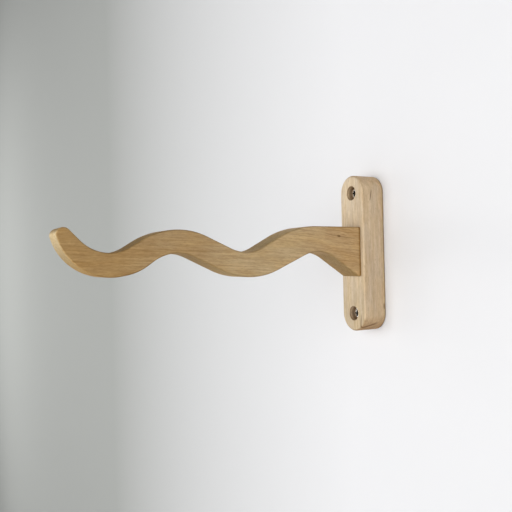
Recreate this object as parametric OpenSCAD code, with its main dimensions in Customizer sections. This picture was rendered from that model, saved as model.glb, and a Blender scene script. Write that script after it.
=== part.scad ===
// Wall hanger for a guitar: one waved wooden arm on a round-ended wall plate.
//
// Frame: millimetres, +Z up. The origin is the centre of the plate's back face, which lies on the wall
// (the plane Y = 0). The arm reaches out along -Y, and the plate's width runs along X.

/* [Wall plate] */
// Width of the plate, also the diameter of its round ends
plate_w = 26; // [24:1:34]
// Height of the plate over its round ends
plate_h = 115; // [105:1:150]
// Thickness of the plate
plate_t = 20; // [18:1:26]
// Radius of the rounded edge round the plate's front face
plate_edge_r = 1.5; // [0.5:0.5:3]

/* [Arm] */
// Width of the arm across X
arm_w = 20; // [16:1:22]
// Height of the arm's top face above the middle of the plate
arm_top_z = 19; // [18:0.5:21]
// Depth of the arm's lowest corner below the middle of the plate
arm_root_drop = 18; // [17:0.5:20]

/* [Wall fixing] */
// Distance between the two wall screws
wall_screw_spacing = 89; // [86:1:92]
// Diameter of the wall screws' threaded shank
wall_screw_d = 5; // [4:0.5:5]
// Length of the wall screws under the head
wall_screw_l = 60; // [50:5:80]
// Diameter of the wall screws' pan head
wall_head_d = 9; // [7:0.5:9.5]
// Height of the pan head
wall_head_h = 3.2; // [2.4:0.2:4]
// Diameter of the counterbore that hides the head
counterbore_d = 10.2; // [10:0.2:12]
// Depth of the counterbore below the plate's front face
counterbore_depth = 6.5; // [4.5:0.5:8]
// Diameter of the clearance hole for the wall screw
wall_hole_d = 5.5; // [5:0.5:6]

/* [Wall plugs] */
// Outer diameter of the wall plugs, and of the hole drilled in the wall
plug_d = 8; // [7:0.5:10]
// Length of the wall plugs
plug_l = 40; // [30:5:40]
// How far the plugs are set below the surface of the wall
plug_inset = 3; // [2.5:0.5:5]

/* [Arm fixing] */
// Diameter of the two screws that pull the arm against the plate
arm_screw_d = 4.5; // [4:0.5:5]
// Head diameter of those countersunk screws
arm_head_d = 8.5; // [8:0.5:9]
// Height of the upper arm screw above the middle of the plate
upper_screw_z = 13.5; // [13:0.5:14]
// Height of the dowel above the middle of the plate
dowel_z = 5.25; // [5:0.25:5.5]
// Height of the lower arm screw above the middle of the plate
lower_screw_z = -3; // [-3.5:0.5:-2.5]
// Length of the upper arm screw
upper_screw_l = 50; // [40:5:50]
// Length of the lower arm screw
lower_screw_l = 35; // [30:1:35]
// Diameter of the glued dowel
dowel_d = 8; // [6:1:8]
// Length of the glued dowel
dowel_l = 30; // [24:1:34]

/* [Hidden] */

$fn = 96;
// How far a cutting shape runs past the face that it opens
cut = 1;
// Largest turn between two points of an arc in the arm's outline, in degrees
arc_step = 3;

plate_r = plate_w / 2;
plate_end_z = plate_h / 2 - plate_r;
wall_screw_z = wall_screw_spacing / 2;
head_seat_y = -(plate_t - counterbore_depth);

// Radius of the rounded edge round the top of a pan head
pan_edge_r = wall_head_h / 2;
// Cross recess shared by all the screw heads
recess_w = 1.1;
recess_span = 4.6;
recess_depth = 1.8;
// Length of a screw's pointed end
screw_tip_l = 6;

// The countersunk heads sit this far below the plate's back face
sink_inset = 0.5;
dowel_in_plate = 12;
dowel_in_arm = dowel_l - dowel_in_plate;
// Glue space left at each end of the dowel
dowel_gap = 0.5;

plug_slot_w = 1.2;
// Share of the plug's length that is slit
plug_slot_share = 0.45;
plug_slot_l = plug_l * plug_slot_share;

// The arm's outline in its side view, as corners [distance from the plate's front face, height,
// radius of the arc that rounds the corner], clockwise from the top of the root.
arm_corners = [
    [0, arm_top_z, 0],
    [54, arm_top_z + 0.5, 60],      // flat top, turning down
    [93, -1, 27],                   // first hollow, where the headstock hangs
    [144, 22.5, 46],                // middle crest
    [188, -3.5, 24],                // second hollow
    [211.5, 21, 4.5],               // top of the upturned tip
    [215, 14, 3.5],                 // front of the tip
    [206.5, -16.5, 33],             // underside of the tip
    [167, -9.5, 33],                // underside of the second hollow
    [144.5, 6, 27],                 // underside of the middle crest
    [91, -19.5, 50],                // underside of the first hollow
    [35, 5, 27],                    // underside of the first crest
    [0, -arm_root_drop, 0]
];

function wrapped(list, i) = list[(i + len(list)) % len(list)];
function flat2(c) = [c[0], c[1]];
function unit(v) = v / norm(v);
function cross2(a, b) = a[0] * b[1] - a[1] * b[0];

// Unit directions from corner i towards the corner before it and the corner after it
function to_previous(c, i) = unit(flat2(wrapped(c, i - 1)) - flat2(c[i]));
function to_next(c, i) = unit(flat2(wrapped(c, i + 1)) - flat2(c[i]));
function corner_angle(c, i) = acos(to_previous(c, i) * to_next(c, i));
// Distance from a corner to the two points where its arc begins and ends
function tangent_length(c, i) = c[i][2] / tan(corner_angle(c, i) / 2);
function arc_start(c, i) = flat2(c[i]) + to_previous(c, i) * tangent_length(c, i);
function arc_centre(c, i) =
    flat2(c[i]) + unit(to_previous(c, i) + to_next(c, i)) * c[i][2] / sin(corner_angle(c, i) / 2);
function turned(v, angle) = [v[0] * cos(angle) - v[1] * sin(angle), v[0] * sin(angle) + v[1] * cos(angle)];

// Points along a corner's arc, from where it leaves one straight line to where it meets the next
function arc_points(c, i) =
    let (sweep = 180 - corner_angle(c, i),
         steps = max(2, ceil(sweep / arc_step)),
         way = sign(cross2(to_next(c, i), to_previous(c, i))),
         spoke = arc_start(c, i) - arc_centre(c, i))
    [for (k = [0 : steps]) arc_centre(c, i) + turned(spoke, way * sweep * k / steps)];

// An outline of straight lines joined by arcs
function rounded_outline(c) =
    [for (i = [0 : len(c) - 1]) for (p = c[i][2] > 0 ? arc_points(c, i) : [flat2(c[i])]) p];

// Turns a shape built up along +Z so that it points out of the wall, along -Y
module facing_out() rotate([90, 0, 0]) children();
// Turns a shape built up along +Z so that it points into the wall, along +Y
module facing_in() rotate([-90, 0, 0]) children();

// Upright rectangle from [0, 0] with its outer top corner rounded
module eased_profile(width, height, edge_r) {
    square([width, height - edge_r]);
    square([width - edge_r, height]);
    intersection() {
        translate([width - edge_r, height - edge_r]) circle(r = edge_r);
        square([width, height]);
    }
}

// Round disc lying on Z = 0, with a rounded edge at the top
module eased_disc(r, height, edge_r) {
    rotate_extrude() eased_profile(r, height, edge_r);
}

// The straight middle of the plate, with the same rounded edges
module plate_middle() {
    rotate([90, 0, 0]) linear_extrude(height = 2 * plate_end_z, center = true)
        for (side = [0, 1]) mirror([side, 0]) eased_profile(plate_r, plate_t, plate_edge_r);
}

// A cross recess, cut down from Z = 0
module cross_recess() {
    for (turn = [0, 90]) rotate([0, 0, turn]) translate([-recess_span / 2, -recess_w / 2, -recess_depth])
        cube([recess_span, recess_w, recess_depth + cut]);
}

// Countersunk screw along -Z, with the top of its head on Z = 0
module countersunk_screw(d, head_d, length) {
    sink = (head_d - d) / 2;
    difference() {
        union() {
            translate([0, 0, -sink]) cylinder(d1 = d, d2 = head_d, h = sink);
            translate([0, 0, screw_tip_l - length]) cylinder(d = d, h = length - screw_tip_l);
            translate([0, 0, -length]) cylinder(d1 = 0, d2 = d, h = screw_tip_l);
        }
        cross_recess();
    }
}

// Hole for that screw, with its cone opened up to Z = sink_inset above the head
module countersunk_hole(d, head_d, length) {
    sink = (head_d - d) / 2;
    translate([0, 0, -length]) cylinder(d = d, h = length);
    translate([0, 0, -sink]) cylinder(d1 = d, d2 = head_d, h = sink);
    cylinder(d = head_d, h = sink_inset + cut);
}

module wall_plate() {
    color("burlywood") difference() {
        facing_out() union() {
            for (side = [-1, 1]) translate([0, side * plate_end_z, 0])
                eased_disc(plate_r, plate_t, plate_edge_r);
            plate_middle();
        }
        for (side = [-1, 1]) translate([0, 0, side * wall_screw_z]) {
            translate([0, cut, 0]) facing_out() cylinder(d = wall_hole_d, h = plate_t + 2 * cut);
            translate([0, head_seat_y, 0]) facing_out()
                cylinder(d = counterbore_d, h = counterbore_depth + cut);
        }
        for (z = [upper_screw_z, lower_screw_z]) translate([0, -sink_inset, z]) facing_in()
            countersunk_hole(arm_screw_d, arm_head_d, plate_t + cut);
        translate([0, -plate_t + dowel_in_plate + dowel_gap, dowel_z]) facing_out()
            cylinder(d = dowel_d, h = dowel_in_plate + dowel_gap + cut);
    }
}

module arm() {
    color("peru") difference() {
        translate([0, -plate_t, 0]) rotate([90, 0, -90])
            linear_extrude(height = arm_w, center = true) polygon(rounded_outline(arm_corners));
        translate([0, -sink_inset, upper_screw_z]) facing_in()
            countersunk_hole(arm_screw_d, arm_head_d, upper_screw_l);
        translate([0, -sink_inset, lower_screw_z]) facing_in()
            countersunk_hole(arm_screw_d, arm_head_d, lower_screw_l);
        translate([0, -plate_t + cut, dowel_z]) facing_out()
            cylinder(d = dowel_d, h = dowel_in_arm + dowel_gap + cut);
    }
}

module arm_dowel() {
    color("tan") translate([0, -plate_t + dowel_in_plate, dowel_z]) facing_out()
        cylinder(d = dowel_d, h = dowel_l);
}

module arm_screw(z, length) {
    color("goldenrod") translate([0, -sink_inset, z]) facing_in()
        countersunk_screw(arm_screw_d, arm_head_d, length);
}

// Pan-head wood screw, driven along +Y from the bottom of a counterbore
module wall_screw(z) {
    color("silver") translate([0, head_seat_y, z]) facing_out() difference() {
        union() {
            eased_disc(wall_head_d / 2, wall_head_h, pan_edge_r);
            translate([0, 0, screw_tip_l - wall_screw_l])
                cylinder(d = wall_screw_d, h = wall_screw_l - screw_tip_l);
            translate([0, 0, -wall_screw_l]) cylinder(d1 = 0, d2 = wall_screw_d, h = screw_tip_l);
        }
        translate([0, 0, wall_head_h]) cross_recess();
    }
}

// Expansion plug, open along its axis for the screw and slit in four at its far end
module wall_plug(z) {
    color("lightgray") translate([0, plug_inset, z]) facing_in() difference() {
        cylinder(d = plug_d, h = plug_l);
        translate([0, 0, -cut]) cylinder(d = wall_screw_d, h = plug_l + 2 * cut);
        for (turn = [0, 90]) rotate([0, 0, turn])
            translate([-plug_d, -plug_slot_w / 2, plug_l - plug_slot_l])
                cube([2 * plug_d, plug_slot_w, plug_slot_l + cut]);
    }
}

wall_plate();
arm();
arm_dowel();
arm_screw(upper_screw_z, upper_screw_l);  // arm_screw_upper
arm_screw(lower_screw_z, lower_screw_l);  // arm_screw_lower
wall_screw(wall_screw_z);  // wall_screw_upper
wall_screw(-wall_screw_z);  // wall_screw_lower
wall_plug(wall_screw_z);  // wall_plug_upper
wall_plug(-wall_screw_z);  // wall_plug_lower
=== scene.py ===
"""Wall hanger for a guitar: a waved wooden arm, dowelled and screwed to a round-ended wall plate.

Every CAD node gets a detailed piece in the same place. The frame is the CAD's: +Z up, the wall on the
plane Y = 0 and the arm reaching out along -Y. Shapes are made in millimetres and piece() scales them to
metres; the room, the lights and the camera are in metres.
"""
import math

import bmesh
import bpy
from mathutils import Matrix, Vector


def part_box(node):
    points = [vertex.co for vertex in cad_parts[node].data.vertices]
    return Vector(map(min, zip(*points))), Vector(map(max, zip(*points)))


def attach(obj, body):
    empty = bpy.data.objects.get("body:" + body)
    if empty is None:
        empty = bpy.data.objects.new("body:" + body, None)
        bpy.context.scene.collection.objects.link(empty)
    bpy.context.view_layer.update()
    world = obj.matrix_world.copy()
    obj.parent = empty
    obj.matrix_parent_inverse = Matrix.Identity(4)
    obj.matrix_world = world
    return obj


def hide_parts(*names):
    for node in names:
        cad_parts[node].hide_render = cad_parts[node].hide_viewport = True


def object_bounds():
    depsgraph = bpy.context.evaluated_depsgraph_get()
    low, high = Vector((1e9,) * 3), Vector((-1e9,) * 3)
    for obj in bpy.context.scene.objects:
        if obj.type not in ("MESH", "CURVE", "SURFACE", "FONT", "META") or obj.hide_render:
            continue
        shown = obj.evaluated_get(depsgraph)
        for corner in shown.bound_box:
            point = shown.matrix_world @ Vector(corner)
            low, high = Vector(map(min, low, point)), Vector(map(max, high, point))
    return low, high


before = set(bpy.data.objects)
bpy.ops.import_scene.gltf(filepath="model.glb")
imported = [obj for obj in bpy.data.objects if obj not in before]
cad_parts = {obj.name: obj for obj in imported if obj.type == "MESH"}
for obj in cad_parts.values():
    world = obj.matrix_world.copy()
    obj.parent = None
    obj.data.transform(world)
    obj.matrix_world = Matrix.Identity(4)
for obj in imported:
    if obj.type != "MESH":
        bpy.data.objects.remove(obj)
cad_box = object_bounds()

MM = 0.001
QUARTER = math.pi / 2


def box_of(node):
    """The lowest and highest corner of a CAD node, in millimetres."""
    return [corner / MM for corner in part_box(node)]


def middle_z(node):
    """The height of a CAD node's middle, in millimetres."""
    low, high = box_of(node)
    return (low.z + high.z) / 2


# Sizes and places that come from the frame
PLATE_FRONT_Y = box_of("wall_plate")[0].y
PLATE_R = box_of("wall_plate")[1].x
PLATE_END_Z = box_of("wall_plate")[1].z - PLATE_R
ARM_HALF_W = box_of("arm")[1].x
WALL_SCREW_Z = {end: middle_z("wall_screw_" + end) for end in ("upper", "lower")}
ARM_SCREW_Z = {end: middle_z("arm_screw_" + end) for end in ("upper", "lower")}
DOWEL_Z = middle_z("arm_dowel")
DOWEL_R = box_of("arm_dowel")[1].x

# Wall plate
PLATE_FRONT_EDGE_R = 1.5
PLATE_BACK_EDGE_R = 1.2
WALL_HOLE_R = 2.75
COUNTERBORE_R = 5.1
COUNTERBORE_DEPTH = 6.5
RIM_EDGE_R = 0.45
PLATE_ROWS = 36             # rows of faces along the plate's straight sides

# Arm: corners of its side view, as distance from the plate's front, height and arc radius
ARM_CORNERS = (
    (0, 19, 0.9),           # top of the root
    (54, 19.5, 60),         # flat top, turning down
    (93, -1, 27),           # first hollow, where the headstock hangs
    (144, 22.5, 46),        # middle crest
    (188, -3.5, 24),        # second hollow
    (211.5, 21, 4.5),       # top of the upturned tip
    (215, 14, 3.5),         # front of the tip
    (206.5, -16.5, 33),     # underside of the tip
    (167, -9.5, 33),        # underside of the second hollow
    (144.5, 6, 27),         # underside of the middle crest
    (91, -19.5, 50),        # underside of the first hollow
    (35, 5, 27),            # underside of the first crest
    (0, -18, 1.2),          # bottom of the root
)
ARM_EDGE_R = 1.0
ARM_ROOT_EDGE_R = 0.45
ARM_ROOT_EDGE_L = 0.3       # length of the root on which the edges stay that small

# Screws
WALL_SCREW_R = 2.5
PAN_HEAD_R = 4.5
PAN_HEAD_H = 3.2
PAN_EDGE_R = 1.6
PAN_NECK_SHARE = 0.86       # the smooth neck's radius, as a share of the screw's
PAN_NECK_L = 2.5
PAN_SMOOTH_L = 3.5          # length under the head without a thread
PAN_RECESS_SPAN = 2.3       # from the middle of the cross recess to the end of its arms
ARM_SCREW_R = 2.25
SINK_HEAD_R = 4.25
SINK_INSET = 0.5
SINK_RIM = 0.15
SINK_NECK_SHARE = 0.75
SINK_RECESS_SPAN = 2.2
HEAD_CHAMFER = 0.25
NECK_FILLET = 0.3
NECK_SLOPE_L = 1.0
SCREW_TIP_L = 6
SCREW_POINT_R = 0.08
SCREW_SEGMENTS = 40
THREAD_PITCH = 2.4
THREAD_ROWS = 12            # rows of points to each turn of a thread
THREAD_FLANK = 0.22         # half the width of the thread's ridge, as a share of the pitch
THREAD_CORE = 0.66          # radius between the ridges, as a share of the screw's radius
THREAD_START = 1.6          # how soon the ridge gets its full height behind the point
THREAD_FULLNESS = 0.8       # below 1, the ridge's flanks bulge
RECESS_CLEAR = 0.02         # faces nearer than this to the head's top aren't in its recess
RECESS_DEPTH_SHARE = 0.85   # depth of a cross recess, as a share of its span
RECESS_LEVELS = (           # its span, half width, inner corner and depth, as shares of span and depth
    (1.06, 0.27, 0.40, 0.25),
    (1.00, 0.25, 0.38, 0.0),
    (0.72, 0.21, 0.30, -0.6),
    (0.40, 0.14, 0.18, -1.0),
)

# Dowel and wall plugs
DOWEL_GAP = 0.5
DOWEL_CHAMFER = 1.0
DOWEL_ROWS = 12
DOWEL_FLUTES = 24
DOWEL_FLUTE_DEPTH = 0.25
PLUG_BORE_R = 2.5
PLUG_EDGE = 0.2
PLUG_COLLAR_L = 1.8
PLUG_COLLAR_CHAMFER = 0.3
PLUG_TOOTH_L = 2.4
PLUG_TOOTH_DEPTH = 0.4
PLUG_TOOTH = ((0, 0.5), (1, 2.0), (1, 2.2), (0, 2.35))      # (share of the depth, distance) along a barb
PLUG_END_TAPER = 0.4
PLUG_MOUTH_L, PLUG_MOUTH_CHAMFER = 0.4, 0.3
PLUG_SLOT_W = 1.2
PLUG_SLOT_SHARE = 0.45

WELD = 0.002                # points closer than this after a cut become one
CUT = 1.0                   # how far a cutting shape runs past the face that it opens

# The room, the lights and the view, in metres
FLOOR_Z = -1.3
ROOM_REACH = 5.0
WALL_TOP = 3.0
WALL_RIGHT = 0.35
WALL_INSET = 0.05 * MM      # the wall's face is this far in front of the plate's back, so they don't coincide
FLOOR_SPOT = Vector((1.0, -2.6, FLOOR_Z))
WALL_SPOT = Vector((-2.3, 0, 0))
WORLD_STRENGTH = 0.09
CAMERA_PLACE = Vector((361.8, -302.5, -2.8)) * MM
CAMERA_AZIMUTH, CAMERA_PITCH, CAMERA_ROLL = 60.98, 0.30, -1.296
CAMERA_LENS, CAMERA_SENSOR = 42.95, 36


# ---------------------------------------------------------------- shapes

def arc(radius, start, turn, steps):
    """Points of an arc about the origin, from the angle start through turn, both ends included."""
    angles = [start + turn * i / steps for i in range(steps + 1)]
    return [Vector((radius * math.cos(a), radius * math.sin(a))) for a in angles]


def rounded_outline(corners, arc_step=math.radians(2), line_step=2.5):
    """An outline of straight lines joined by arcs, with points along both."""
    arcs = []
    for i, (u, z, radius) in enumerate(corners):
        corner = Vector((u, z))
        back = (Vector(corners[i - 1][:2]) - corner).normalized()
        ahead = (Vector(corners[(i + 1) % len(corners)][:2]) - corner).normalized()
        half = back.angle(ahead) / 2
        centre = corner + (back + ahead).normalized() * radius / math.sin(half)
        spoke = corner + back * radius / math.tan(half) - centre
        turn = math.copysign(math.pi - 2 * half, -back.cross(ahead))
        steps = max(4, math.ceil(abs(turn) / arc_step))
        start = math.atan2(spoke.y, spoke.x)
        arcs.append([centre + p for p in arc(radius, start, turn, steps)])
    outline = []
    for this, following in zip(arcs, arcs[1:] + arcs[:1]):
        outline += this
        line = following[0] - this[-1]
        steps = max(1, round(line.length / line_step))
        outline += [this[-1] + line * i / steps for i in range(1, steps)]
    return outline


def inset_outline(outline, amounts):
    """The outline moved inwards at each point by that point's amount."""
    moved = []
    for i, (point, amount) in enumerate(zip(outline, amounts)):
        along = outline[(i + 1) % len(outline)] - outline[i - 1]
        inward = Vector((along.y, -along.x)).normalized()
        moved.append(point + inward * amount)
    return moved


def skin(rings, closed=False):
    """A closed mesh over rings of points: flat faces at its two ends, or a tube back to its start."""
    bm = bmesh.new()
    loops = [[bm.verts.new(point) for point in ring] for ring in rings]
    pairs = list(zip(loops, loops[1:]))
    if closed:
        pairs.append((loops[-1], loops[0]))
    else:
        bm.faces.new(loops[0])
        bm.faces.new(loops[-1])
    for low, high in pairs:
        for i in range(len(low)):
            bm.faces.new((low[i - 1], low[i], high[i], high[i - 1]))
    bmesh.ops.recalc_face_normals(bm, faces=bm.faces)
    return bm


def turned(profile, segments=64, closed=False, ripple=None):
    """A lathe shape about +Z from (radius, height) points.

    ripple(angle, radius, height), where it is given, returns the radius at that place.
    """
    rings = []
    for radius, height in profile:
        ring = []
        for i in range(segments):
            angle = 2 * math.pi * i / segments
            r = ripple(angle, radius, height) if ripple else radius
            ring.append(Vector((r * math.cos(angle), r * math.sin(angle), height)))
        rings.append(ring)
    return skin(rings, closed)


def cross_prism(levels):
    """A cross-shaped prism along +Z from (half span, half width, inner corner, height) levels."""
    rings = []
    for span, width, inner, height in levels:
        arm = [(span, -width), (span, width), (inner, inner)]
        ring = []
        for quarter in range(4):
            c, s = round(math.cos(quarter * QUARTER)), round(math.sin(quarter * QUARTER))
            ring += [Vector((x * c - y * s, x * s + y * c, height)) for x, y in arm]
        rings.append(ring)
    return skin(rings)


def placed(bm, matrix):
    """The shape itself, moved by the matrix."""
    bmesh.ops.transform(bm, matrix=matrix, verts=bm.verts)
    return bm


def facing_out(bm, y, z):
    """A shape along +Z turned to point out of the wall, with its origin at (0, y, z)."""
    return placed(bm, Matrix.Translation((0, y, z)) @ Matrix.Rotation(QUARTER, 4, "X"))


def facing_in(bm, y, z):
    """A shape along +Z turned to point into the wall, with its origin at (0, y, z)."""
    return placed(bm, Matrix.Translation((0, y, z)) @ Matrix.Rotation(-QUARTER, 4, "X"))


def temporary(bm):
    """An object for a modifier to work with, which carved() removes."""
    mesh = bpy.data.meshes.new("temporary")
    bm.to_mesh(mesh)
    bm.free()
    thing = bpy.data.objects.new("temporary", mesh)
    bpy.context.scene.collection.objects.link(thing)
    return thing


def carved(bm, cutters):
    """The shape with every cutter taken out of it."""
    body = temporary(bm)
    tools = [temporary(cutter) for cutter in cutters]
    for tool in tools:
        step = body.modifiers.new("cut", "BOOLEAN")
        step.operation, step.solver, step.object = "DIFFERENCE", "EXACT", tool
    seen = body.evaluated_get(bpy.context.evaluated_depsgraph_get())
    result = bmesh.new()
    result.from_mesh(seen.to_mesh())
    bmesh.ops.remove_doubles(result, verts=result.verts, dist=WELD)
    for thing in [body, *tools]:
        mesh = thing.data
        bpy.data.objects.remove(thing)
        bpy.data.meshes.remove(mesh)
    return result


def shade(bm, limit=math.radians(32)):
    """Smooth shading that keeps creases and the edges of flat end faces crisp."""
    for face in bm.faces:
        face.smooth = True
    for edge in bm.edges:
        flat = any(len(face.verts) > 4 for face in edge.link_faces)
        edge.smooth = not flat and edge.calc_face_angle(0) < limit


def piece(node, bm, slot, *materials):
    """Finishes a shape in millimetres as the piece that stands for a CAD node."""
    placed(bm, Matrix.Scale(MM, 4))
    shade(bm)
    mesh = bpy.data.meshes.new(node + "_detailed")
    bm.to_mesh(mesh)
    bm.free()
    for material in materials:
        mesh.materials.append(material)
    thing = bpy.data.objects.new(node + "_detailed", mesh)
    bpy.context.scene.collection.objects.link(thing)
    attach(thing, "root")
    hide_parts(node)


# ---------------------------------------------------------------- materials

def srgb(red, green, blue):
    """A linear colour from the 0 to 255 values that a screen shows."""
    def linear(value):
        value /= 255
        return value / 12.92 if value <= 0.04045 else ((value + 0.055) / 1.055) ** 2.4
    return (linear(red), linear(green), linear(blue), 1.0)


PALE_SHARE = 0.6            # share of the pale tone in plain wood
PORE_TONE, PORE_STRENGTH = srgb(128, 98, 66), 0.25
MARK_TONE = srgb(96, 62, 26)
WARM_TINT, COOL_TINT = (1.02, 1.0, 0.95, 1.0), (0.985, 1.0, 1.035, 1.0)
TINT_PATCH = (24, 7)        # length and width of the warmer and cooler patches
FIBRE = (4, 0.28)           # length and width of a fibre
PORE = (2.2, 0.35)
RING_GAP, RING_STRENGTH = 2.8, 0.12
RING_CURVE = 0.006          # how much the growth rings curve across the piece
RING_WAVE = (70, 14)        # length and width of the waves in the growth rings
RING_WAVE_HEIGHT = 7.0
FIGURE_RUN = (20, 235)      # stretch along the grain over which the figure calms down
KNOT_LENGTHS, KNOT_WIDTHS = 8, 3        # the bend in the grain round a knot, in sizes of the knot
KNOT_PUSH = -0.6
WOOD_ROUGHNESS, FIBRE_ROUGHNESS = 0.48, 0.2
WOOD_SPECULAR = 0.15
GRAIN_DEPTH = 0.04

# Directions, and shares of the faces that look along X, Y and Z
OUT, UP, DOWN = (0, -1, 0), (0, 0, 1), (0, 0, -1)
OUT_AND_UP, OUT_AND_DOWN = (0, -1, 0.4), (0, -1, -1)
EVERY_FACE, ALL_ROUND = (1, 1, 1), (1, 0, 1)
Y_FACES, Z_FACES = (0, 1, 0), (0, 0, 1)

# Paint: the wall turns to a darker tone, painted shade, between two distances to the left of the hanger, in
# millimetres
FLOOR_TONE = srgb(228, 228, 226)
WALL_TONE, WALL_SHADE_TONE = srgb(233, 233, 235), srgb(171, 173, 170)
WALL_SHADE_RUN = (30, 720)
STIPPLE_TONE, STIPPLE_STRENGTH = (0.6, 0.6, 0.6, 1), 0.03


class Graph:
    """Short forms for a material's nodes. Each call returns an output socket, so calls nest."""

    def __init__(self, name):
        self.material = bpy.data.materials.new(name)
        self.material.use_nodes = True
        self.tree = self.material.node_tree
        self.shader = self.tree.nodes["Principled BSDF"].inputs

    def feed(self, socket, value):
        """Links a socket to the input, or sets the input to a plain value."""
        if isinstance(value, bpy.types.NodeSocket):
            self.tree.links.new(value, socket)
        else:
            socket.default_value = value

    def node(self, kind, inputs, out=0, **settings):
        """A new shader node with its settings and inputs; gives one of its outputs."""
        node = self.tree.nodes.new("ShaderNode" + kind)
        for name, value in settings.items():
            setattr(node, name, value)
        for key, value in inputs.items():
            self.feed(node.inputs[key], value)
        return node.outputs[out]

    def math(self, operation, *values):
        return self.node("Math", dict(enumerate(values)), operation=operation)

    def vector(self, operation, a, b=(0, 0, 0), out=0):
        return self.node("VectorMath", {0: a, 1: b}, out, operation=operation)

    def scaled(self, vector, factor):
        return self.node("VectorMath", {0: vector, "Scale": factor}, operation="SCALE")

    def dot(self, a, b):
        return self.vector("DOT_PRODUCT", a, b, out="Value")

    def combine(self, x, y, z):
        """A vector from three numbers."""
        return self.node("CombineXYZ", {0: x, 1: y, 2: z})

    def position(self):
        """The point on the object, in millimetres of the CAD frame."""
        return self.scaled(self.node("TexCoord", {}, out="Object"), 1 / MM)

    def noise(self, place, detail=2.0, roughness=0.5, distortion=0.0):
        return self.node("TexNoise", {"Vector": place, "Scale": 1.0, "Detail": detail,
                                      "Roughness": roughness, "Distortion": distortion})

    def span(self, value, low, high, start=0.0, end=1.0):
        """The value's place between low and high, eased and held between start and end."""
        return self.node("MapRange", {"Value": value, "From Min": low, "From Max": high,
                                      "To Min": start, "To Max": end}, interpolation_type="SMOOTHSTEP")

    def mix(self, factor, a, b, blend="MIX"):
        return self.node("Mix", {0: factor, 6: a, 7: b}, out=2, data_type="RGBA", blend_type=blend)

    def bump(self, height, distance):
        self.feed(self.shader["Normal"], self.node("Bump", {"Height": height, "Distance": distance}))


def near(graph, place, centre, along, half_length, half_width):
    """1 at a lens-shaped mark's centre, falling to 0 at its ends and sides."""
    offset = graph.vector("SUBTRACT", place, centre)
    axis = Vector(along).normalized()
    length = graph.dot(offset, axis)
    whole = graph.dot(offset, offset)
    aside = graph.math("SUBTRACT", whole, graph.math("MULTIPLY", length, length))
    far = graph.math("ADD", graph.math("MULTIPLY", graph.math("MULTIPLY", length, length), half_length ** -2),
                     graph.math("MULTIPLY", aside, half_width ** -2))
    return graph.span(far, 0.15, 1.0, 1.0, 0.0)


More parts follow.
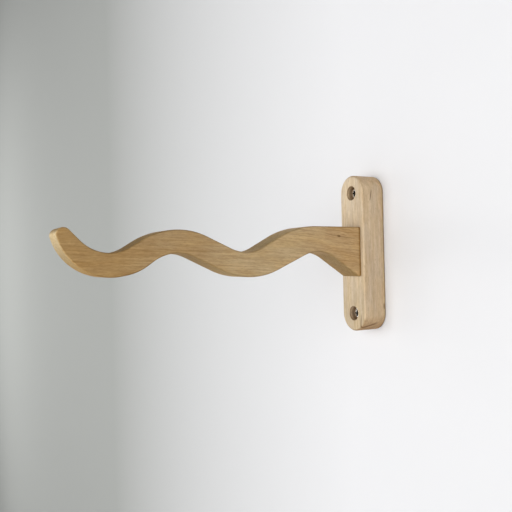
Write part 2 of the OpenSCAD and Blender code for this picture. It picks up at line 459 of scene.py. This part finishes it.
def wood(name, along, ring, tones, tints, figure, start=0.0, calm=1.0, sweep=0.0, eased=(0, 0, 0),
         shifts=(), marks=(), layers=(), knots=()):
    """Planed, routed and oiled hardwood.

    along is the grain's direction and ring the direction across the growth rings. tones are the dark and
    the pale colour; tints multiply them on the faces that look along X, Y and Z, which paints light and
    shade by the way a face looks, and darker end grain. figure holds the (length, width, strength) of each
    layer of streaks, and start moves the piece through their pattern; calm is what is left of their
    strength at the far end of the grain, and sweep bends the grain. eased paints shade on the rounded
    edges and slopes between the X and Y, X and Z, and Y and Z faces, and paints a highlight there instead
    where it is negative. shifts are (direction, from, to, tint, shares of the X, Y and Z faces) changes of
    colour along a direction, among them painted shade and painted light. marks are dark flecks and
    patches of painted shade (centre, direction, half length, half width, strength), layers are dark lines
    where a plane meets the surface (normal, offset, half width, centre, reach, strength), and knots are
    the (centre, size) places that the grain bends round.
    """
    graph = Graph(name)
    place = graph.position()
    along = Vector(along).normalized()
    ring = (Vector(ring) - along * along.dot(Vector(ring))).normalized()
    third = along.cross(ring)
    warped = place
    for centre, size in knots:
        push = near(graph, place, centre, along, size * KNOT_LENGTHS, size * KNOT_WIDTHS)
        aside = graph.dot(graph.vector("SUBTRACT", place, centre), ring)
        shove = graph.math("MULTIPLY", graph.math("MULTIPLY", push, aside), KNOT_PUSH)
        warped = graph.vector("ADD", warped, graph.scaled(tuple(ring), shove))
    run = graph.dot(warped, along)
    across = graph.math("MULTIPLY_ADD", graph.math("MULTIPLY", run, run), sweep, graph.dot(warped, ring))
    aside = graph.dot(warped, third)

    def streaks(length, width, detail=2.0):
        """Noise in blobs that are length along the grain and width across it."""
        return graph.noise(graph.combine(graph.math("MULTIPLY_ADD", run, 1 / length, start),
                                         graph.math("MULTIPLY", across, 1 / width),
                                         graph.math("MULTIPLY", aside, 1 / width)), detail)

    layer = graph.math("MULTIPLY_ADD", graph.math("MULTIPLY", aside, aside), RING_CURVE, across)
    layer = graph.math("MULTIPLY_ADD", streaks(*RING_WAVE), RING_WAVE_HEIGHT, layer)
    phase = graph.math("FRACT", graph.math("MULTIPLY", layer, 1 / RING_GAP))
    late = graph.math("MULTIPLY", graph.span(phase, 0.35, 0.93), graph.span(phase, 0.93, 1.0, 1.0, 0.0))
    fibres = streaks(*FIBRE)
    pores = graph.span(streaks(*PORE, 1.0), 0.6, 0.7)
    tone = graph.math("MULTIPLY_ADD", late, -RING_STRENGTH, PALE_SHARE)
    for length, width, strength in figure:
        centred = graph.math("SUBTRACT", streaks(length, width), 0.5)
        strength = graph.span(run, *FIGURE_RUN, strength, strength * calm)
        tone = graph.math("MULTIPLY_ADD", centred, strength, tone)
    tone = graph.math("MINIMUM", graph.math("MAXIMUM", tone, 0.0), 1.0)
    colour = graph.mix(tone, *tones)
    colour = graph.mix(graph.math("MULTIPLY", pores, PORE_STRENGTH), colour, PORE_TONE)
    hue = graph.mix(graph.span(streaks(*TINT_PATCH), 0.35, 0.65), COOL_TINT, WARM_TINT)
    colour = graph.mix(1.0, colour, hue, "MULTIPLY")

    # The tints paint light and shade by the way a face looks, and darker end grain.
    normal = graph.node("TexCoord", {}, out="Normal")
    facing = graph.vector("MULTIPLY", normal, normal)
    tint = graph.combine(*(graph.dot(facing, tuple(tint[channel] for tint in tints)) for channel in range(3)))
    x, y, z = (graph.dot(facing, tuple(axis)) for axis in Matrix.Identity(3))
    hidden = graph.span(graph.dot(normal, (0, 1, 0)), -0.5, -0.1)
    # Painted shade on the rounded edges and slopes, and painted highlight where eased is negative.
    edge_shading = 1.0
    edges = ((x, y), (graph.math("MULTIPLY", x, hidden), z), (y, z))
    for (a, b), strength in zip(edges, eased):
        edge_shading = graph.math("MULTIPLY_ADD", graph.math("MULTIPLY", a, b), -4 * strength, edge_shading)
    colour = graph.mix(1.0, colour, graph.scaled(tint, edge_shading), "MULTIPLY")
    for direction, low, high, shift_tint, faces in shifts:
        amount = graph.span(graph.dot(place, direction), low, high)
        amount = graph.math("MULTIPLY", amount, graph.dot(facing, faces))
        colour = graph.mix(amount, colour, (*shift_tint, 1), "MULTIPLY")
    for centre, mark_along, half_length, half_width, strength in marks:
        spot = near(graph, place, centre, mark_along, half_length, half_width)
        colour = graph.mix(graph.math("MULTIPLY", spot, strength), colour, MARK_TONE)
    for normal_to, offset, half_width, centre, reach, strength in layers:
        off = graph.math("ABSOLUTE", graph.math("SUBTRACT", graph.dot(place, normal_to), offset))
        line = graph.math("MULTIPLY", graph.span(off, 0, half_width, 1.0, 0.0),
                          near(graph, place, centre, along, reach, reach))
        colour = graph.mix(graph.math("MULTIPLY", line, strength), colour, MARK_TONE)
    graph.feed(graph.shader["Base Color"], colour)
    graph.feed(graph.shader["Roughness"], graph.math("MULTIPLY_ADD", fibres, FIBRE_ROUGHNESS, WOOD_ROUGHNESS))
    graph.shader["Specular IOR Level"].default_value = WOOD_SPECULAR
    graph.bump(graph.math("SUBTRACT", graph.math("MULTIPLY", fibres, 0.7), pores), GRAIN_DEPTH * MM)
    return graph.material


def metal(name, tones, roughness):
    """Plated steel with a mottled tone and fine scratches."""
    graph = Graph(name)
    place = graph.position()
    mottle = graph.noise(graph.scaled(place, 0.9), 3.0)
    scratches = graph.noise(graph.vector("MULTIPLY", place, (0.8, 0.8, 9.0)), 3.0, 0.7)
    graph.feed(graph.shader["Base Color"], graph.mix(graph.span(mottle, 0.3, 0.7), *tones))
    graph.feed(graph.shader["Roughness"], graph.math("MULTIPLY_ADD", scratches, 0.25, roughness))
    graph.shader["Metallic"].default_value = 1.0
    graph.bump(scratches, 0.01 * MM)
    return graph.material


def nylon(name, tones):
    """Moulded plastic with a faint flow pattern and a fine matt grain."""
    graph = Graph(name)
    place = graph.position()
    flow = graph.noise(graph.vector("MULTIPLY", place, (0.25, 0.06, 0.25)), 2.0, 0.5, 0.8)
    grain = graph.noise(graph.scaled(place, 5.0), 2.0)
    graph.feed(graph.shader["Base Color"], graph.mix(graph.span(flow, 0.3, 0.7), *tones))
    graph.feed(graph.shader["Roughness"], graph.math("MULTIPLY_ADD", grain, 0.15, 0.42))
    graph.bump(grain, 0.02 * MM)
    return graph.material


# ---------------------------------------------------------------- the shapes of the wooden pieces

def stadium(radius, inset, y, segments=48):
    """The plate's outline at the depth y, drawn in by inset."""
    ends = arc(radius - inset, 0, math.pi, segments)
    top = [Vector((p.x, y, PLATE_END_Z + p.y)) for p in ends]
    bottom = [Vector((-p.x, y, -PLATE_END_Z - p.y)) for p in ends]
    fall = [PLATE_END_Z * (1 - 2 * i / PLATE_ROWS) for i in range(1, PLATE_ROWS)]
    left = [Vector((inset - radius, y, z)) for z in fall]
    right = [Vector((radius - inset, y, -z)) for z in fall]
    return top + left + bottom + right


def eased_levels(front, back, edge_front, edge_back, steps=7):
    """(depth, inset) pairs from the back to the front of a slab with both its edges rounded."""
    rear = [(back - edge_back * (1 - p.x), edge_back * (1 - p.y))
            for p in arc(1, 0, QUARTER, steps)]
    fore = [(front + edge_front * (1 - p.x), edge_front * (1 - p.y))
            for p in arc(1, QUARTER, -QUARTER, steps)]
    return rear + fore


def counterbore():
    """Cutter for a wall screw's hole: clearance hole, counterbore and an eased rim, pointing out."""
    depth = -PLATE_FRONT_Y
    rim = [(COUNTERBORE_R + RIM_EDGE_R * (1 - p.x), depth - RIM_EDGE_R * (1 - p.y))
           for p in arc(1, 0, QUARTER, 6)]
    floor = depth - COUNTERBORE_DEPTH
    return turned([(WALL_HOLE_R, -CUT), (WALL_HOLE_R, floor), (COUNTERBORE_R, floor), *rim,
                   (COUNTERBORE_R + RIM_EDGE_R, depth + CUT)])


def sink_hole(length):
    """Cutter for an arm screw: pilot hole, countersink and the opening behind it, pointing out."""
    sink = SINK_HEAD_R - ARM_SCREW_R
    return turned([(SINK_HEAD_R, -SINK_INSET - CUT), (SINK_HEAD_R, 0), (ARM_SCREW_R, sink),
                   (ARM_SCREW_R, length)])


def dowel_hole(low_y, high_y):
    """Cutter for the dowel between two depths."""
    return facing_out(turned([(DOWEL_R, 0), (DOWEL_R, high_y - low_y)]), high_y, DOWEL_Z)


def make_wall_plate(material):
    """Round-ended board with two counterbored holes, two countersunk ones and a blind dowel hole."""
    levels = eased_levels(PLATE_FRONT_Y, 0, PLATE_FRONT_EDGE_R, PLATE_BACK_EDGE_R)
    block = skin([stadium(PLATE_R, inset, y) for y, inset in levels])
    cutters = [facing_out(counterbore(), 0, z) for z in WALL_SCREW_Z.values()]
    cutters += [facing_out(sink_hole(CUT - PLATE_FRONT_Y), -SINK_INSET, z) for z in ARM_SCREW_Z.values()]
    cutters.append(dowel_hole(PLATE_FRONT_Y - CUT, box_of("arm_dowel")[1].y + DOWEL_GAP))
    piece("wall_plate", carved(block, cutters), "plate_wood", material)


def make_arm(material):
    """Waved arm with eased side edges, drilled at its root for two screws and the dowel."""
    outline = rounded_outline(ARM_CORNERS)
    rounding = [min(ARM_EDGE_R, ARM_ROOT_EDGE_R + max(0, p.x - ARM_ROOT_EDGE_L)) for p in outline]
    edge_steps, middle_steps = 8, 10
    levels = [(-1, QUARTER * (1 - i / edge_steps)) for i in range(edge_steps)]
    levels += [(-1 + 2 * i / middle_steps, 0) for i in range(middle_steps + 1)]
    levels += [(1, QUARTER * i / edge_steps) for i in range(1, edge_steps + 1)]
    rings = []
    for side, lean in levels:
        flat = inset_outline(outline, [r * (1 - math.cos(lean)) for r in rounding])
        rings.append([Vector((side * (ARM_HALF_W - r * (1 - math.sin(lean))), PLATE_FRONT_Y - p.x, p.y))
                      for p, r in zip(flat, rounding)])
    cutters = [facing_out(sink_hole(screw_length("arm_screw_" + end)), -SINK_INSET, z)
               for end, z in ARM_SCREW_Z.items()]
    cutters.append(dowel_hole(box_of("arm_dowel")[0].y - DOWEL_GAP, PLATE_FRONT_Y + CUT))
    piece("arm", carved(skin(rings), cutters), "arm_wood", material)


def make_dowel(material):
    """Fluted beech dowel, chamfered at both ends, partly in the plate and partly in the arm."""
    low, high = box_of("arm_dowel")
    length = high.y - low.y

    def flutes(angle, radius, height):
        return radius - DOWEL_FLUTE_DEPTH * max(0, math.cos(DOWEL_FLUTES * angle)) ** 2

    slim = DOWEL_R - DOWEL_CHAMFER / 2
    body = [(DOWEL_R, DOWEL_CHAMFER + (length - 2 * DOWEL_CHAMFER) * i / DOWEL_ROWS)
            for i in range(DOWEL_ROWS + 1)]
    shape = turned([(slim, 0), *body, (slim, length)], DOWEL_FLUTES * 6, ripple=flutes)
    piece("arm_dowel", facing_out(shape, high.y, DOWEL_Z), "dowel_wood", material)


# ---------------------------------------------------------------- the fastenings

def screw_length(node):
    """A CAD screw's length along Y, in millimetres."""
    low, high = box_of(node)
    return high.y - low.y


def threaded(head, radius, length, smooth):
    """A screw along -Z from its head's profile, smooth for a stretch and then threaded to its point."""
    core = radius * THREAD_CORE

    def thread(angle, at, height):
        below = -smooth - height
        if below <= 0:
            return at
        point = min(1, (length + height) / SCREW_TIP_L)
        rise = min(1, below / THREAD_PITCH) * min(1, point * THREAD_START)
        phase = (height / THREAD_PITCH - angle / (2 * math.pi)) % 1
        ridge = max(0, 1 - abs(phase - 0.5) / THREAD_FLANK)
        return at + (radius - core) * rise * ridge ** THREAD_FULLNESS

    rows = math.ceil((length - smooth) / THREAD_PITCH * THREAD_ROWS)
    shank = []
    for i in range(rows + 1):
        height = -smooth - (length - smooth) * i / rows
        taper = min(1, (length + height) / SCREW_TIP_L)
        shank.append((max(SCREW_POINT_R, core * taper), height))
    return turned([*head, *shank], SCREW_SEGMENTS, ripple=thread)


def recessed(screw, top, span):
    """The screw with a tapered cross recess in its head at the height top, its faces marked as shaded."""
    depth = RECESS_DEPTH_SHARE * span
    cutter = cross_prism([(span * end, span * half, span * inner, top + depth * level)
                          for end, half, inner, level in RECESS_LEVELS])
    screw = carved(screw, [cutter])
    for face in screw.faces:
        middle = face.calc_center_median()
        inside = top - depth < middle.z < top - RECESS_CLEAR and middle.xy.length < span
        face.material_index = int(inside)
    return screw


def make_wall_screw(end, *materials):
    """Pan head screw with a cross recess, through the plate and into its plug."""
    node = "wall_screw_" + end
    low, high = box_of(node)
    edge = [(PAN_HEAD_R - PAN_EDGE_R * (1 - p.x), PAN_HEAD_H - PAN_EDGE_R * (1 - p.y))
            for p in arc(1, QUARTER, -QUARTER, 8)]
    neck = WALL_SCREW_R * PAN_NECK_SHARE
    head = [*edge, (PAN_HEAD_R, HEAD_CHAMFER), (PAN_HEAD_R - HEAD_CHAMFER, 0), (neck + NECK_FILLET, 0),
            (neck, -NECK_FILLET), (neck, -PAN_NECK_L)]
    screw = threaded(head, WALL_SCREW_R, high.y - low.y - PAN_HEAD_H, PAN_SMOOTH_L)
    screw = recessed(screw, PAN_HEAD_H, PAN_RECESS_SPAN)
    piece(node, facing_out(screw, low.y + PAN_HEAD_H, WALL_SCREW_Z[end]), "bright_steel", *materials)


def make_arm_screw(end, *materials):
    """Countersunk screw from the plate's back into the arm."""
    node = "arm_screw_" + end
    sink = SINK_HEAD_R - ARM_SCREW_R
    neck = ARM_SCREW_R * SINK_NECK_SHARE
    grip = -PLATE_FRONT_Y
    head = [(SINK_HEAD_R - HEAD_CHAMFER, 0), (SINK_HEAD_R - SINK_RIM, -SINK_RIM), (ARM_SCREW_R, -sink),
            (neck, -sink - NECK_SLOPE_L), (neck, -grip + NECK_SLOPE_L)]
    screw = threaded(head, ARM_SCREW_R, screw_length(node), grip)
    screw = recessed(screw, 0, SINK_RECESS_SPAN)
    piece(node, facing_in(screw, -SINK_INSET, ARM_SCREW_Z[end]), "yellow_zinc_steel", *materials)


def make_wall_plug(end, material):
    """Expansion plug with a collar, rings of barbs and a split far end."""
    node = "wall_plug_" + end
    low, high = box_of(node)
    length, radius = high.y - low.y, high.x
    root = radius - PLUG_TOOTH_DEPTH
    outside = [(radius - PLUG_EDGE, 0), (radius, PLUG_EDGE), (radius, PLUG_COLLAR_L - PLUG_COLLAR_CHAMFER),
               (root, PLUG_COLLAR_L)]
    barbs = math.floor((length - PLUG_COLLAR_L) / PLUG_TOOTH_L)
    for i in range(barbs):
        start = PLUG_COLLAR_L + PLUG_TOOTH_L * i
        outside += [(root + PLUG_TOOTH_DEPTH * rise, start + along) for rise, along in PLUG_TOOTH]
    outside += [(root - PLUG_END_TAPER, length)]
    inside = [(PLUG_BORE_R, length), (PLUG_BORE_R, PLUG_MOUTH_L), (PLUG_BORE_R + PLUG_MOUTH_CHAMFER, 0)]
    slit = length * PLUG_SLOT_SHARE
    half = PLUG_SLOT_W / 2
    slits = cross_prism([(radius + CUT, half, half, length - slit), (radius + CUT, half, half, length + CUT)])
    plug = carved(turned(outside + inside, 64, closed=True), [slits])
    piece(node, facing_in(plug, low.y, WALL_SCREW_Z[end]), "plug_nylon", material)


# ---------------------------------------------------------------- stage, light and camera

def paint(name, tone, one_sided=False, shade_tone=None):
    """Matt paint that may turn darker on the left, as painted shade.

    A one-sided wall can't be seen from behind, so the fixings stay in view there.
    """
    graph = Graph(name)
    stipple = graph.noise(graph.scaled(graph.position(), 0.02), 3.0)
    near_side, far_side = WALL_SHADE_RUN
    # painted shade, growing towards the left
    distance = graph.node("MapRange", {"Value": graph.dot(graph.position(), (-1, 0, 0)),
                                       "From Min": near_side, "From Max": far_side})
    colour = graph.mix(distance, tone, shade_tone or tone)
    colour = graph.mix(graph.math("MULTIPLY", stipple, STIPPLE_STRENGTH), colour, STIPPLE_TONE)
    graph.feed(graph.shader["Base Color"], colour)
    graph.shader["Roughness"].default_value = 0.9
    graph.shader["Specular IOR Level"].default_value = 0.2
    if one_sided:
        output = graph.tree.nodes["Material Output"].inputs["Surface"]
        back = graph.node("NewGeometry", {}, out="Backfacing")
        clear = graph.node("BsdfTransparent", {})
        graph.feed(output, graph.node("MixShader", {0: back, 1: output.links[0].from_socket, 2: clear}))
    return graph.material


def flat_sheet(name, corners, material):
    """A single flat face that belongs to the stage and not to the object."""
    bm = bmesh.new()
    bm.faces.new([bm.verts.new(corner) for corner in corners])
    mesh = bpy.data.meshes.new(name)
    bm.to_mesh(mesh)
    bm.free()
    mesh.materials.append(material)
    thing = bpy.data.objects.new(name, mesh)
    bpy.context.scene.collection.objects.link(thing)
    return thing


def make_stage():
    """Pale floor, and the wall that the hanger is on. The wall ends to the right, outside the view."""
    left, right = -ROOM_REACH, ROOM_REACH
    floor = [(left, left, FLOOR_Z), (right, left, FLOOR_Z), (right, right, FLOOR_Z), (left, right, FLOOR_Z)]
    flat_sheet("floor", floor, paint("floor_paint", FLOOR_TONE))
    face = [(left, -WALL_INSET, FLOOR_Z), (WALL_RIGHT, -WALL_INSET, FLOOR_Z),
            (WALL_RIGHT, -WALL_INSET, WALL_TOP), (left, -WALL_INSET, WALL_TOP)]
    wall = flat_sheet("wall", face, paint("wall_paint", WALL_TONE, True, WALL_SHADE_TONE))
    wall.visible_shadow = False             # so that the rear fill shines through it


def soft_light(name, azimuth, elevation, distance, size, power, target):
    """A soft box that faces its target, at a distance in metres and with a power in watts.

    Azimuth 0 stands in front of the wall, 90 to the right and 180 behind it.
    """
    data = bpy.data.lights.new(name, "AREA")
    data.shape = "RECTANGLE"
    data.size, data.size_y = size
    data.energy = power
    light = bpy.data.objects.new(name, data)
    turn, rise = math.radians(azimuth), math.radians(elevation)
    away = Vector((math.sin(turn) * math.cos(rise), -math.cos(turn) * math.cos(rise), math.sin(rise)))
    light.location = target + away * distance
    light.rotation_euler = away.to_track_quat("Z", "Y").to_euler()
    light.visible_camera = False
    bpy.context.scene.collection.objects.link(light)


def make_light():
    """A large soft key from the front, three fills, and washes for the floor and the far wall."""
    world = bpy.data.worlds.new("studio")
    world.use_nodes = True
    background = world.node_tree.nodes["Background"].inputs
    background["Color"].default_value = (1.0, 1.0, 1.0, 1.0)
    background["Strength"].default_value = WORLD_STRENGTH
    bpy.context.scene.world = world
    hanger = (cad_box[0] + cad_box[1]) / 2
    soft_light("key", 8, 2, 1.6, (2.6, 1.3), 33.4, hanger)
    soft_light("side_fill", 78, 5, 1.2, (0.6, 0.6), 1.92, hanger)
    soft_light("left_fill", -54, 0, 1.8, (0.3, 0.3), 1.8, hanger)
    soft_light("rear_fill", 205, 18, 1.6, (1.6, 1.2), 14, hanger)
    soft_light("floor_wash", 0, 90, 0.8, (4.0, 3.2), 18, FLOOR_SPOT)
    soft_light("wall_wash", 0, 0, 1.0, (1.0, 1.6), 15, WALL_SPOT)
    bpy.context.scene.view_settings.view_transform = "Standard"


def make_camera():
    """The main view: from the right of the arm and nearly level, looking left and towards the wall."""
    data = bpy.data.cameras.new("view")
    data.lens, data.sensor_width = CAMERA_LENS, CAMERA_SENSOR
    data.clip_start = 0.01
    camera = bpy.data.objects.new("view", data)
    turns = ((CAMERA_AZIMUTH, "Z"), (90 + CAMERA_PITCH, "X"), (CAMERA_ROLL, "Z"))
    matrix = Matrix.Translation(CAMERA_PLACE)
    for angle, axis in turns:
        matrix = matrix @ Matrix.Rotation(math.radians(angle), 4, axis)
    camera.matrix_world = matrix
    bpy.context.scene.collection.objects.link(camera)
    bpy.context.scene.camera = camera


# ---------------------------------------------------------------- the looks of the wooden pieces

def plate_wood():
    """Pale, straight-grained wood with two flecks on its right side and a ring line at its lower end."""
    ring = (0.977, -0.192, -0.097)
    holes = WALL_SCREW_Z.values()
    return wood(
        "plate_beech", UP, ring, (srgb(182, 155, 124), srgb(225, 204, 176)),
        # The tints and eased paint light and shade: darker upper and lower ends, partly their end grain, a
        # lighter front, a painted highlight on the rounded edges of the straight sides and painted shade on
        # those round the ends.
        tints=((0.975, 0.955, 0.905), (0.985, 1.015, 1.02), (0.80, 0.72, 0.62)),
        figure=((60, 4.5, 0.8), (34, 2.4, 0.5), (11, 1.0, 0.6), (4.5, 1.8, 0.4), (6, 1.0, 0.7), (26, 9, 0.3)),
        start=6.8, eased=(-0.16, 0, 0.25),
        shifts=[(OUT, 2.0, 0.7, (0.42, 0.37, 0.33), ALL_ROUND),             # painted contact shadow along the wall
                (OUT, 6, 0, (1, 0.96, 0.85), ALL_ROUND),                    # warmer near the wall
                (DOWN, 44, 57, (0.74, 0.62, 0.46), ALL_ROUND),              # painted shade round the lower end, partly its browner end grain
                (DOWN, 5, 45, (0.88, 0.875, 0.83), Y_FACES),                # front darker downwards
                (UP, 47, 57, (1, 0.97, 0.9), ALL_ROUND)],                   # warmer round the upper end
        marks=[((13, -12.1, 42.6), (0, 0.136, 1), 5.5, 0.45, 0.8),          # upper fleck
               ((13, -1.6, -39.5), UP, 3, 1.4, 0.5),                        # lower fleck
               *(((0, -15.3, z), (0, 1, 0), 3.5, 12, 0.65) for z in holes)],        # painted shade in the holes
        layers=[(ring, 16.96, 0.95, (9.5, -15.5, -53), 11, 0.75),           # ring line at the lower end
                *((OUT, 19.4, 0.6, (0, -19.5, z), 9, 0.6) for z in holes)])         # rims of the holes


def arm_wood():
    """Golden wood with its grain along the arm, a pin knot at its root and painted light on its tip."""
    along = (0, -1, 0.14)
    knot = (10, -39.4, 12.4)
    return wood(
        "arm_birch", along, (0.25, 0, 1), (srgb(166, 134, 91), srgb(216, 189, 144)),
        # The tints and eased paint light and shade: painted light on the faces that look out, painted shade
        # on the tops, undersides, slopes and rounded edges.
        tints=((1, 1, 1), (1.1, 1.18, 1.2), (0.81, 0.735, 0.515)),
        figure=((45, 1.4, 0.85), (15, 0.9, 1.0), (4, 0.9, 0.75), (26, 9, 0.5), (4, 0.28, 0.45)),
        calm=0.85, sweep=0.0003, eased=(0, 0.3, 0.4),
        shifts=[(OUT, 118, 150, (0.86, 0.795, 0.715), ALL_ROUND),           # browner past the first hollow
                (OUT, 170, 205, (1.03, 0.96, 0.8), ALL_ROUND),              # more golden towards the tip
                (OUT, 85, 30, (0.93, 0.84, 0.74), ALL_ROUND),               # browner towards the root
                (OUT, 22.4, 20.5, (0.62, 0.54, 0.34), EVERY_FACE),          # painted contact shadow at the plate
                (OUT_AND_UP, 205, 232, (1.25, 1.4, 1.9), Z_FACES),          # painted light: paler top at the tip
                (OUT_AND_DOWN, 210, 236, (1.66, 1.59, 1.36), Z_FACES),      # painted light: paler underside at the tip
                (OUT_AND_UP, 205, 232, (0.94, 0.94, 0.95), Y_FACES)],       # tip's end a little darker: less of the painted light
        marks=[(knot, along, 2.0, 1.0, 0.68),                               # the knot
               (knot, along, 14, 0.6, 0.3)],                                # its dark streak
        knots=[(knot, 1.3)])


def dowel_wood():
    """Plain pale beech, with darker end grain."""
    return wood(
        "dowel_beech", (0, 1, 0), (1, 0, 0.2), (srgb(186, 154, 116), srgb(222, 196, 158)),
        tints=((1, 1, 1), (0.85, 0.82, 0.78), (1, 1, 1)),
        figure=((34, 2.4, 0.5), (11, 1.0, 0.9), (4, 0.28, 0.5)))


make_camera()
make_wall_plate(plate_wood())
make_arm(arm_wood())
make_dowel(dowel_wood())
bright = metal("bright_zinc", ((0.74, 0.73, 0.70, 1), (0.90, 0.89, 0.86, 1)), 0.08)
yellow = metal("yellow_zinc", ((0.72, 0.50, 0.20, 1), (0.86, 0.70, 0.36, 1)), 0.24)
# Painted shade: near-black steel for the faces inside the cross recesses.
shaded = metal("recess_painted_shade", ((0.01, 0.009, 0.008, 1), (0.03, 0.028, 0.026, 1)), 0.55)
plastic = nylon("plug_grey", ((0.52, 0.53, 0.55, 1), (0.60, 0.61, 0.62, 1)))
for end in ("upper", "lower"):
    make_wall_screw(end, bright, shaded)
    make_arm_screw(end, yellow, shaded)
    make_wall_plug(end, plastic)
make_stage()
make_light()
